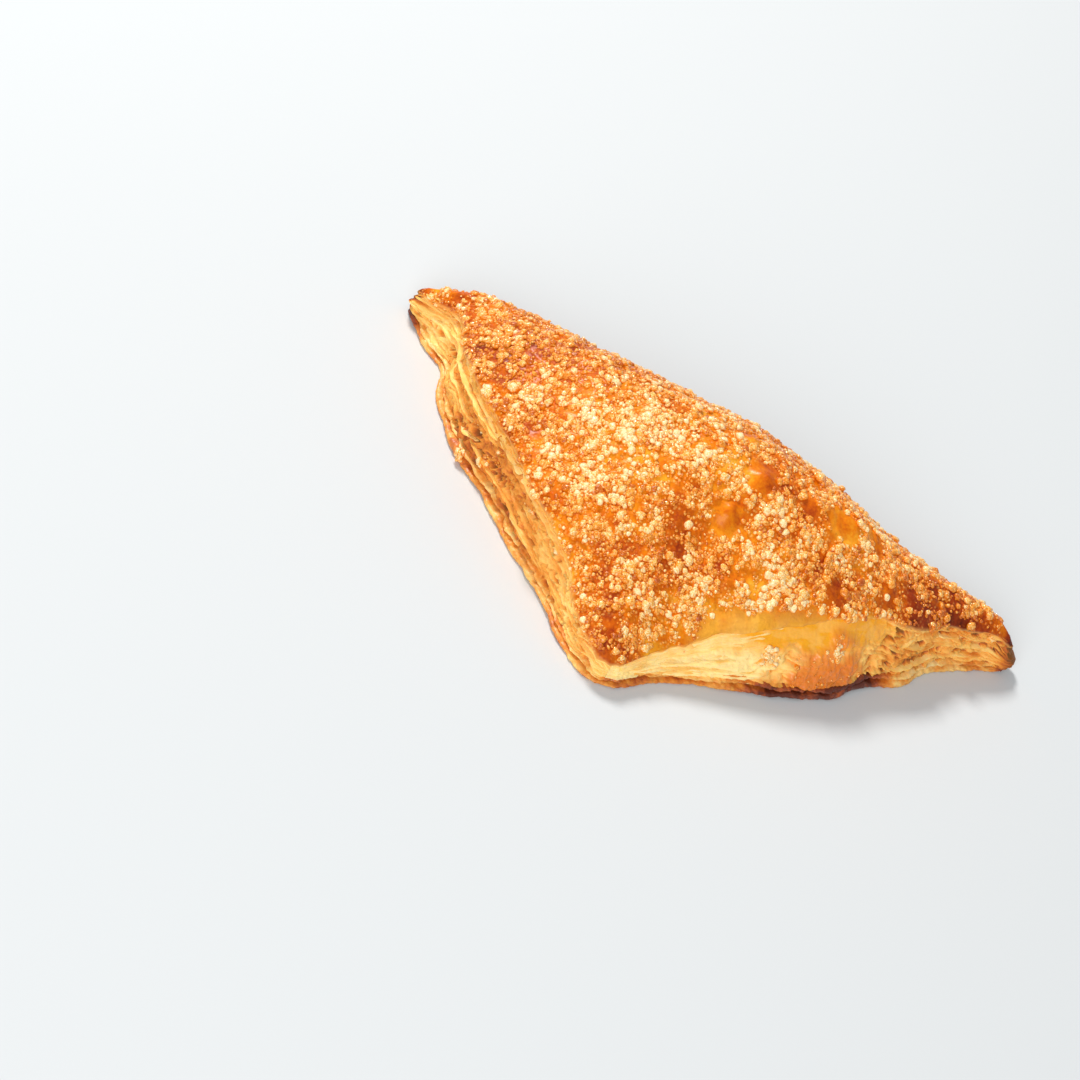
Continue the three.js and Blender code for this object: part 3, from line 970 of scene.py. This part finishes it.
clumpSpots = [  # x, y, radius
    (21, -3, 3.2), (24, -7, 3.4), (9, -17, 3), (15.2, 5.3, 4), (30, -5, 3), (-13, -17, 3),
    (-34, 4, 5), (-9, -26, 4), (14, -4, 3), (-18, 10, 6), (-46, 5, 4), (33, 9, 3), (3, -12, 2.4),
    (-26, -12, 4), (-1, -27, 4), (42.6, -1.4, 2.4), (-49.4, -5, 2.4), (24, 8, 3), (-60, 22, 4),
    (-36, -6, 3), (45, 3, 3), (-24, 2, 4), (-8, 4, 4), (29.5, -13.2, 2.4),
]


def grainShapes(fine, seed):  # a few rounded, slightly boxy crystals
    draw = np.random.default_rng(seed)
    ball = bmesh.new()
    bmesh.ops.create_icosphere(ball, subdivisions=fine, radius=1)
    sphere = np.array([v.co for v in ball.verts])
    triangles = np.array([[v.index for v in face.verts] for face in ball.faces])
    ball.free()
    shapes = []
    for _ in range(sugar["shapes"]):
        power = sugar["boxiness"] + draw.uniform(-0.9, 1.2)
        turned = sphere @ turns(draw, 1)[0]
        boxy = turned / ((np.abs(turned) ** power).sum(1) ** (1 / power))[:, None]
        boxy = boxy * draw.uniform(0.7, 1.2, 3) * draw.uniform(0.84, 1.12, (len(boxy), 1))
        shapes.append(boxy / 2)
    return shapes, triangles


def turns(draw, number):  # random rotations
    q = draw.normal(size=(number, 4))
    q /= np.linalg.norm(q, axis=1)[:, None]
    w, x, y, z = q.T
    return np.stack([
        np.stack([1 - 2 * (y * y + z * z), 2 * (x * y - z * w), 2 * (x * z + y * w)], 1),
        np.stack([2 * (x * y + z * w), 1 - 2 * (x * x + z * z), 2 * (y * z - x * w)], 1),
        np.stack([2 * (x * z - y * w), 2 * (y * z + x * w), 1 - 2 * (x * x + y * y)], 1),
    ], 1)


def spotsOn(points, faces, density, kind, sizes, draw, taken):
    # Random places on triangles by area and density, kept apart from each other and from taken.
    number, gap = kind["number"], kind["gap"]
    triangles = points[faces]
    a, b, c = triangles[:, 0], triangles[:, 1], triangles[:, 2]
    normal = np.cross(b - a, c - a)
    area = np.linalg.norm(normal, axis=1)
    weight = area * density[faces].mean(1)
    picked = draw.choice(len(faces), number * 7, p=weight / weight.sum())
    u, w = draw.random((2, len(picked)))
    over = u + w > 1
    u[over], w[over] = 1 - u[over], 1 - w[over]
    places = a[picked] + u[:, None] * (b - a)[picked] + w[:, None] * (c - a)[picked]
    facing = (normal / np.maximum(area, 1e-12)[:, None])[picked]
    kept = []
    cell = 2.0
    for i, place in enumerate(places):
        size = sizes[i % len(sizes)]
        key = tuple(int(n // cell) for n in place)
        near = [
            other
            for dx in (-1, 0, 1) for dy in (-1, 0, 1) for dz in (-1, 0, 1)
            for other in taken.get((key[0] + dx, key[1] + dy, key[2] + dz), ())
        ]
        if all((place[0] - o[0]) ** 2 + (place[1] - o[1]) ** 2 + (place[2] - o[2]) ** 2
               > (gap * (size + o[3]) / 2) ** 2 for o in near):
            taken.setdefault(key, []).append((*place, size))
            kept.append((i, size))
            if len(kept) == number:
                break
    index = np.array([i for i, _ in kept])
    return places[index], facing[index], np.array([size for _, size in kept])


def stuckShare(points):  # 1 in the pale clusters on the cut side
    found = sum(blob(points, x, y, z, radius * 1.5) for x, y, z, radius, _ in sugar["onSide"])
    return np.clip(found * 2, 0, 1)


def makeGrains(kind, seed, places, facing, sizes, lift):
    draw = np.random.default_rng(seed)
    shapes, triangles = grainShapes(kind["fine"], seed)
    number, each = len(places), len(shapes[0])
    chosen = draw.integers(len(shapes), size=number)
    body = np.array(shapes)[chosen] * sizes[:, None, None]
    body = np.einsum("nij,nkj->nki", turns(draw, number), body)
    body -= sugar["flattened"] * np.einsum("nki,ni->nk", body, facing)[..., None] * facing[:, None]
    centres = places + facing * (sizes * sugar["proud"] + lift)[:, None]
    height = 0.5 + np.einsum("nki,ni->nk", body, facing) / sizes[:, None] / 0.7
    points = (body + centres[:, None]).reshape(-1, 3)
    faces = (triangles[None] + (np.arange(number) * each)[:, None, None]).reshape(-1, 3)
    # The clusters stuck on the cut sides are painted paler: partly their own pale sugar, partly painted
    # light for the sides, which the lamps light less than the top.
    bake = browning(places) - 0.35 * stuckShare(places)
    amber = np.clip(kind["amber"] + draw.normal(0, 0.17, number) + 0.9 * (bake - 0.45), 0, 1)
    # The map: one cell for each grain, inside which the grain lies as seen along its own Z.
    across = math.ceil(math.sqrt(number))
    cell = np.stack([np.arange(number) % across, np.arange(number) // across], 1)
    flat = np.array(shapes)[chosen][:, :, :2] * 0.6 + 0.5
    places = ((cell[:, None] + 0.1 + 0.8 * flat) / across).reshape(-1, 2)[faces.ravel()]
    values = {
        "amber": np.repeat(amber, each), "own": np.repeat(draw.random(number), each),
        "bake": np.repeat(bake, each), "height": np.clip(height, 0, 1).ravel(),
    }
    return makePiece(kind["name"], points, faces, values, places)


def sugarGround():  # the crust's outer faces and the cut sides, with how much sugar lies where
    faces = []
    for face in crustFaces:
        faces.append(face[:3])
        if len(face) == 4:
            faces.append(face[[0, 2, 3]])
    faces = np.array(faces)
    a, b, c = [crustPoints[faces[:, k]] for k in range(3)]
    normal = np.cross(b - a, c - a)
    normal /= np.maximum(np.linalg.norm(normal, axis=1), 1e-12)[:, None]
    faces = faces[(normal[:, 2] > 0.12) & (a[:, 2] > 4)]
    flat = crustPoints[:, :2]
    density = 1 - bareness(flat)
    for size, seed, octaves, low, high, least in sugar["uneven"]:
        density *= least + smooth(wander(crustPoints, size, seed, octaves), low, high)
    density *= smooth(crustPoints[:, 2], 5, 9)
    ground = [(crustPoints, faces, density)]

    across, around = sideSections.shape[:2]
    index = np.arange(across * around).reshape(across, around)
    corners = [index[:-1, :-1], index[:-1, 1:], index[1:, 1:], index[1:, :-1]]
    quad = np.stack(corners, -1)[:, 2:-2].reshape(-1, 4)
    split = np.concatenate([quad[:, [0, 1, 2]], quad[:, [0, 2, 3]]])
    mask = np.concatenate([spillMask[:, :1], spillMask, spillMask[:, -1:]], 1)[:, ::-1].ravel()
    points = sideSections.reshape(-1, 3)
    stray = sugar["stray"] * smooth(wander(points, 5, 72, 2), 0.15, 0.45)
    for x, y, z, radius, amount in sugar["onSide"]:
        stray = stray + amount * blob(points, x, y, z, radius)
    ground.append((points, split, np.clip(mask * sugar["onSpill"] + stray, 0, 1)))
    points = np.concatenate([part[0] for part in ground])
    faces = np.concatenate([ground[0][1], ground[1][1] + len(ground[0][0])])
    return points, faces, np.concatenate([part[2] for part in ground])


def drawSizes(kind, draw):
    sizes = kind["size"] * np.exp(draw.normal(0, kind["spread"], sugar["sizesDrawn"]))
    return np.minimum(sizes, sugar["largest"])


def makeSugar():
    points, faces, density = sugarGround()
    draw = np.random.default_rng(7)
    taken = {}
    made = []
    clump = sugar["clumps"]
    heaps = sum(bump(points[:, :2], x, y, radius * 1.4) for x, y, radius in clumpSpots)
    heaps = 0.75 * heaps + 0.5 * smooth(wander(points, 4, 73, 2), 0.1, 0.45)
    heaps = np.clip(heaps, 0, 1) * (density > 0.08)
    found = spotsOn(points, faces, heaps**2, clump, drawSizes(clump, draw), draw, taken)
    lift = draw.random(len(found[0])) ** 2 * 0.8
    for x, y, z, spread, number in sugar["onLeaf"]:
        places = np.append(fromFrame(x, y), z) + draw.normal(0, 1, (number, 3)) * (spread, spread, 0.7)
        facing = np.tile(unit(np.array([-1, -1, 1.2])), (number, 1))
        stuck = places, facing, draw.uniform(0.9, 1.5, number)
        found = [np.concatenate(pair) for pair in zip(found, stuck)]
        lift = np.append(lift, np.zeros(number))
    made.append(makeGrains(clump, 80, *found, lift))
    for i, kind in enumerate(sugar["kinds"]):
        # The pale grains keep closest to the covered parts.
        share = density ** (1.6 if i == 0 else 1)
        found = spotsOn(points, faces, share, kind, drawSizes(kind, draw), draw, taken)
        lift = draw.random(len(found[0])) * 0.15
        made.append(makeGrains(kind, 81 + i, *found, lift))
        print(kind["name"], len(found[0]), "grains")
    return made


sugarPieces = makeSugar()


class Link:  # one output socket, which joins sums as a number would
    def __init__(self, tree, socket=None):
        self.tree = tree
        self.socket = socket

    def node(self, kind, settings=None, values=None, output=0):
        made = self.tree.nodes.new(kind)
        for key, value in (settings or {}).items():
            if key == "stops":
                fillRamp(made.color_ramp, value)
            else:
                setattr(made, key, value)
        for key, value in (values or {}).items():
            if isinstance(value, Link):
                self.tree.links.new(value.socket, made.inputs[key])
            else:
                made.inputs[key].default_value = value
        return Link(self.tree, made.outputs[output])

    def math(self, operation, *values):
        return self.node("ShaderNodeMath", {"operation": operation}, dict(enumerate(values)))

    def __add__(self, other):
        return self.math("ADD", self, other)

    __radd__ = __add__

    def __sub__(self, other):
        return self.math("SUBTRACT", self, other)

    def __rsub__(self, other):
        return self.math("SUBTRACT", other, self)

    def __mul__(self, other):
        return self.math("MULTIPLY", self, other)

    __rmul__ = __mul__

    def between(self, low, high):  # eased from 0 at low to 1 at high
        return self.node(
            "ShaderNodeMapRange", {"interpolation_type": "SMOOTHSTEP"},
            {"Value": self, "From Min": low, "From Max": high},
        )

    def tint(self, other, share, mode="MIX"):  # mixes this colour with another
        return self.node(
            "ShaderNodeMix", {"data_type": "RGBA", "blend_type": mode},
            {0: share, 6: self, 7: other}, output=2,
        )

    def ramp(self, stops):
        return self.node("ShaderNodeValToRGB", {"stops": stops}, {"Fac": self})


def fillRamp(ramp, stops):  # each stop is (place, red, green, blue)
    while len(ramp.elements) < len(stops):
        ramp.elements.new(0.5)
    for element, (place, *colour) in zip(ramp.elements, stops):
        element.position = place
        element.color = paint(*colour)


def paint(red, green, blue):  # a colour given as on a screen, 0 to 255
    channels = [c / 255 for c in (red, green, blue)]
    return (*[c / 12.92 if c < 0.04045 else ((c + 0.055) / 1.055) ** 2.4 for c in channels], 1)


class Finish:  # a material with one Principled BSDF
    def __init__(self, name, constants):
        self.material = bpy.data.materials.new(name)
        self.material.use_nodes = True
        self.shader = self.material.node_tree.nodes["Principled BSDF"]
        for key, value in constants.items():
            self.shader.inputs[key].default_value = value
        self.start = Link(self.material.node_tree)
        self.coordinates = self.start.node("ShaderNodeTexCoord", output=3)

    def attribute(self, key):
        return self.start.node("ShaderNodeAttribute", {"attribute_name": key}, output=2)

    def squeezed(self, upward):  # coordinates in which noise lies flat, like the layers
        return self.start.node(
            "ShaderNodeMapping", None, {"Vector": self.coordinates, "Scale": (1, 1, upward)}
        )

    def grain(self, scale, detail=4, place=None):  # noise about 0.5
        return self.start.node("ShaderNodeTexNoise", None, {
            "Vector": place or self.coordinates, "Scale": scale, "Detail": detail, "Roughness": 0.55,
        })

    def bumps(self, height, strength, distance):
        return self.start.node("ShaderNodeBump", None, {
            "Strength": strength, "Distance": distance, "Height": height,
        })

    def use(self, **links):
        for key, link in links.items():
            self.start.tree.links.new(link.socket, self.shader.inputs[key.replace("_", " ")])
        return self.material


crustFinishSettings = {
    "ramp": [
        (0, 252, 196, 84), (0.22, 242, 164, 38), (0.42, 226, 124, 10),
        (0.58, 204, 94, 6), (0.76, 156, 54, 12), (1, 90, 28, 10),
    ],
    "lip": paint(250, 196, 112),
    "glassy": paint(236, 162, 34),
    "melted": paint(248, 196, 104),
    "fleck": paint(252, 186, 96),
    "speck": paint(150, 60, 20),
    # Scales of the noises, in waves a metre.
    "coarse": 260,
    "fine": 1500,
    "specks": 900,
    "beads": 1150,
    "clouds": 200,
}


def crustFinish():
    finish = Finish("glazedCrust", {
        "Coat Roughness": 0.18, "Coat IOR": 1.3, "Specular IOR Level": 0.1,
    })
    lip, glassy = finish.attribute("lip"), finish.attribute("glassy")
    coarse = finish.grain(crustFinishSettings["coarse"])
    fine = finish.grain(crustFinishSettings["fine"], 3)
    bake = finish.attribute("bake") + (coarse - 0.5) * 0.42 + (fine - 0.5) * 0.3
    colour = bake.ramp(crustFinishSettings["ramp"])
    speck = finish.grain(crustFinishSettings["specks"], 2).between(0.62, 0.72)
    colour = colour.tint(crustFinishSettings["speck"], speck * 0.35)
    # Melted sugar shows as pale beads and flecks in the glaze.
    spread = {"Vector": finish.coordinates, "Scale": crustFinishSettings["beads"]}
    distance, cell = [
        coarse.node("ShaderNodeTexVoronoi", None, spread, output) for output in (0, 1)
    ]
    own = cell.node("ShaderNodeSeparateColor", None, {"Color": cell})
    bead = (1 - distance.between(0.15, 0.55)) * finish.attribute("sugary")
    fleck = bead * own.between(0.25, 0.9)
    colour = colour.tint(crustFinishSettings["fleck"], fleck * 0.75)
    colour = colour.tint(crustFinishSettings["lip"], lip * 0.55)
    colour = colour.tint(crustFinishSettings["melted"], glassy * (0.6 - fleck * 0.3))
    clouds = finish.grain(crustFinishSettings["clouds"]).between(0.42, 0.58)
    colour = colour.tint(crustFinishSettings["glassy"], glassy * (0.35 + clouds * 0.55))
    return finish.use(
        Base_Color=colour,
        Roughness=0.34 + (coarse - 0.5) * 0.3 + lip * 0.2,
        Coat_Weight=0.22 - lip * 0.18,
        Normal=finish.bumps(coarse * 0.6 + fine * 0.3 + bead * 0.5, 0.5, 0.0005),
    )


leafFinishSettings = {
    "ramp": [
        (0, 255, 226, 160), (0.25, 252, 204, 120), (0.45, 240, 165, 70),
        (0.6, 222, 130, 44), (0.78, 172, 80, 34), (1, 98, 38, 18),
    ],
    "squeeze": 4,
    "coarse": 330,
    "fine": 1700,
}


def leafFinish():
    finish = Finish("bakedLeaf", {
        "Subsurface Weight": 0.15, "Subsurface Radius": (1, 0.5, 0.2), "Subsurface Scale": 0.0015,
        "Coat Roughness": 0.3, "Specular IOR Level": 0.4,
    })
    squeezed = finish.squeezed(leafFinishSettings["squeeze"])
    coarse = finish.grain(leafFinishSettings["coarse"], 4, squeezed)
    fine = finish.grain(leafFinishSettings["fine"], 3, squeezed)
    bake = finish.attribute("bake") + (coarse - 0.5) * 0.5 + (fine - 0.5) * 0.3
    return finish.use(
        Base_Color=bake.ramp(leafFinishSettings["ramp"]),
        Roughness=0.5 + (coarse - 0.5) * 0.3,
        Coat_Weight=0.15 + 0.3 * bake,
        Normal=finish.bumps(coarse * 0.5 + fine * 0.5, 0.5, 0.0004),
    )


sideFinishSettings = {
    "ramp": [
        (0, 255, 226, 154), (0.2, 250, 200, 114), (0.36, 236, 168, 76),
        (0.52, 218, 130, 40), (0.7, 180, 82, 22), (1, 86, 28, 10),
    ],
    "yolk": paint(240, 164, 0),
    "spill": paint(228, 118, 12),
    # painted glow: warm emission colour that lifts the shade on the cut sides
    "paintedGlow": paint(250, 184, 90),
    "squeeze": 3.5,
    "coarse": 300,
    "fine": 1900,
    "clouds": 150,
}


def sideFinish():
    # A weak warm emission paints light into the cut sides' shade, as painted glow.
    finish = Finish("cutLayers", {
        "Subsurface Weight": 0.3, "Subsurface Radius": (1, 0.6, 0.25), "Subsurface Scale": 0.0018,
        "Coat Roughness": 0.2, "Specular IOR Level": 0.25, "Emission Color": sideFinishSettings["paintedGlow"],
        "Emission Strength": 0.1,
    })
    squeezed = finish.squeezed(sideFinishSettings["squeeze"])
    coarse = finish.grain(sideFinishSettings["coarse"], 4, squeezed)
    fine = finish.grain(sideFinishSettings["fine"], 3, squeezed)
    bake = finish.attribute("bake") + (coarse - 0.5) * 0.24 + (fine - 0.5) * 0.18
    yolk, spill = finish.attribute("yolk"), finish.attribute("spill")
    clouds = finish.grain(sideFinishSettings["clouds"], 3, squeezed).between(0.35, 0.62)
    colour = bake.ramp(sideFinishSettings["ramp"])
    colour = colour.tint(sideFinishSettings["yolk"], yolk * (1.3 - clouds * 0.6))
    colour = colour.tint(sideFinishSettings["spill"], spill * (0.3 + coarse))
    return finish.use(
        Base_Color=colour,
        Roughness=0.62 - yolk.math("MAXIMUM", yolk, spill) * 0.35,
        Coat_Weight=0.1 + yolk * 0.15 + spill * 0.5,
        Normal=finish.bumps(coarse * 0.4 + fine * 0.6, 0.45, 0.0004),
    )


sugarFinishSettings = {
    "ramp": [
        (0, 255, 228, 174), (0.22, 254, 202, 120), (0.48, 244, 164, 54),
        (0.75, 226, 128, 24), (1, 186, 84, 12),
    ],
    # colour towards a grain's foot, partly painted see-through of the crust
    "foot": paint(228, 136, 16),
    # painted glow: warm emission colour that lights the grains' shade
    "paintedGlow": paint(232, 138, 12),
    # size of the pale mottling in the grains, partly painted sparkle
    "mottleAndSparkle": 2700,
}


def sugarFinish():
    # The emission strength below is painted glow; the grains are no lamp.
    finish = Finish("sugar", {
        "IOR": 1.45, "Subsurface Weight": 0.2, "Subsurface Radius": (1, 0.8, 0.6),
        "Subsurface Scale": 0.0006, "Specular IOR Level": 0.4, "Coat Weight": 0.5,
        "Coat Roughness": 0.05, "Emission Strength": 0.25,
    })
    # Pale flecks mottle each grain: partly the sugar's own cloudiness, partly painted sparkle.
    mottleAndSparkle = finish.grain(sugarFinishSettings["mottleAndSparkle"], 3)
    own = finish.attribute("own")
    amber = finish.attribute("amber") - (mottleAndSparkle - 0.5) * 2 + (own - 0.5) * 0.2
    # Towards its foot a grain is painted with the colour of the crust under it: partly the glaze it sits
    # in, partly painted see-through, the crust as light through a clear grain would show it.
    under = finish.attribute("bake").ramp(crustFinishSettings["ramp"])
    under = under.tint(sugarFinishSettings["foot"], 0.5)
    depth = 1 - (finish.attribute("height") + (mottleAndSparkle - 0.5) * 0.8).between(0.25, 0.95)
    # Painted glow: a warm emission, strongest at the grains' feet and in the gaps between them, paints
    # light into their shade as if it passed through the grains.
    paintedGlow = depth.node("ShaderNodeMix", {"data_type": "RGBA"}, {
        0: depth, 6: paint(0, 0, 0), 7: sugarFinishSettings["paintedGlow"],
    }, output=2)
    return finish.use(
        Base_Color=amber.ramp(sugarFinishSettings["ramp"]).tint(under, depth * 0.9),
        Roughness=0.16 + mottleAndSparkle * 0.22,
        Normal=finish.bumps(mottleAndSparkle, 0.35, 0.0003),
        Emission_Color=paintedGlow,
    )


def dress(pieces, material):
    for piece in pieces:
        piece.data.materials.append(material)


dress([crustPiece], crustFinish())
dress(leafPieces, leafFinish())
dress([sidePiece, strandPiece], sideFinish())
dress(sugarPieces, sugarFinish())
print("finishes made")

stage = {
    "floorColour": (0.66, 0.69, 0.71),
    "worldColour": (0.97, 0.985, 1),
    "worldStrength": 0.4,
    # Area lights: place from the turnover's middle in the camera's right, up and back, metres;
    # size in metres, watts, colour.
    "lamps": [
        ((0, 1.3, 0.15), 0.3, 14.8, (1, 0.97, 0.93)),
        ((-0.2, -0.2, 1.35), 0.8, 12.3, (1, 0.99, 0.97)),
    ],
}


def lightStage():
    floorMesh = bpy.data.meshes.new("floor")
    floorMesh.from_pydata([(-4, -4, 0), (4, -4, 0), (4, 4, 0), (-4, 4, 0)], [], [(0, 1, 2, 3)])
    floor = bpy.data.objects.new("floor", floorMesh)
    bpy.context.collection.objects.link(floor)
    paper = bpy.data.materials.new("paper")
    paper.use_nodes = True
    shader = paper.node_tree.nodes["Principled BSDF"]
    shader.inputs["Base Color"].default_value = (*stage["floorColour"], 1)
    shader.inputs["Roughness"].default_value = 0.9
    shader.inputs["Specular IOR Level"].default_value = 0.1
    floorMesh.materials.append(paper)
    world = bpy.data.worlds.new("world")
    world.use_nodes = True
    sky = world.node_tree.nodes["Background"]
    sky.inputs["Color"].default_value = (*stage["worldColour"], 1)
    sky.inputs["Strength"].default_value = stage["worldStrength"]
    bpy.context.scene.world = world
    for i, (place, size, power, colour) in enumerate(stage["lamps"]):
        lamp = bpy.data.lights.new(f"lamp{i}", "AREA")
        lamp.shape = "DISK"
        lamp.size = size
        lamp.energy = power
        lamp.color = colour
        holder = bpy.data.objects.new(f"lamp{i}", lamp)
        at = cameraRight * place[0] + cameraUp * place[1] + cameraBack * place[2]
        holder.location = at
        holder.rotation_euler = at.to_track_quat("Z", "Y").to_euler()
        bpy.context.collection.objects.link(holder)
    bpy.context.scene.view_settings.view_transform = "Standard"


lightStage()
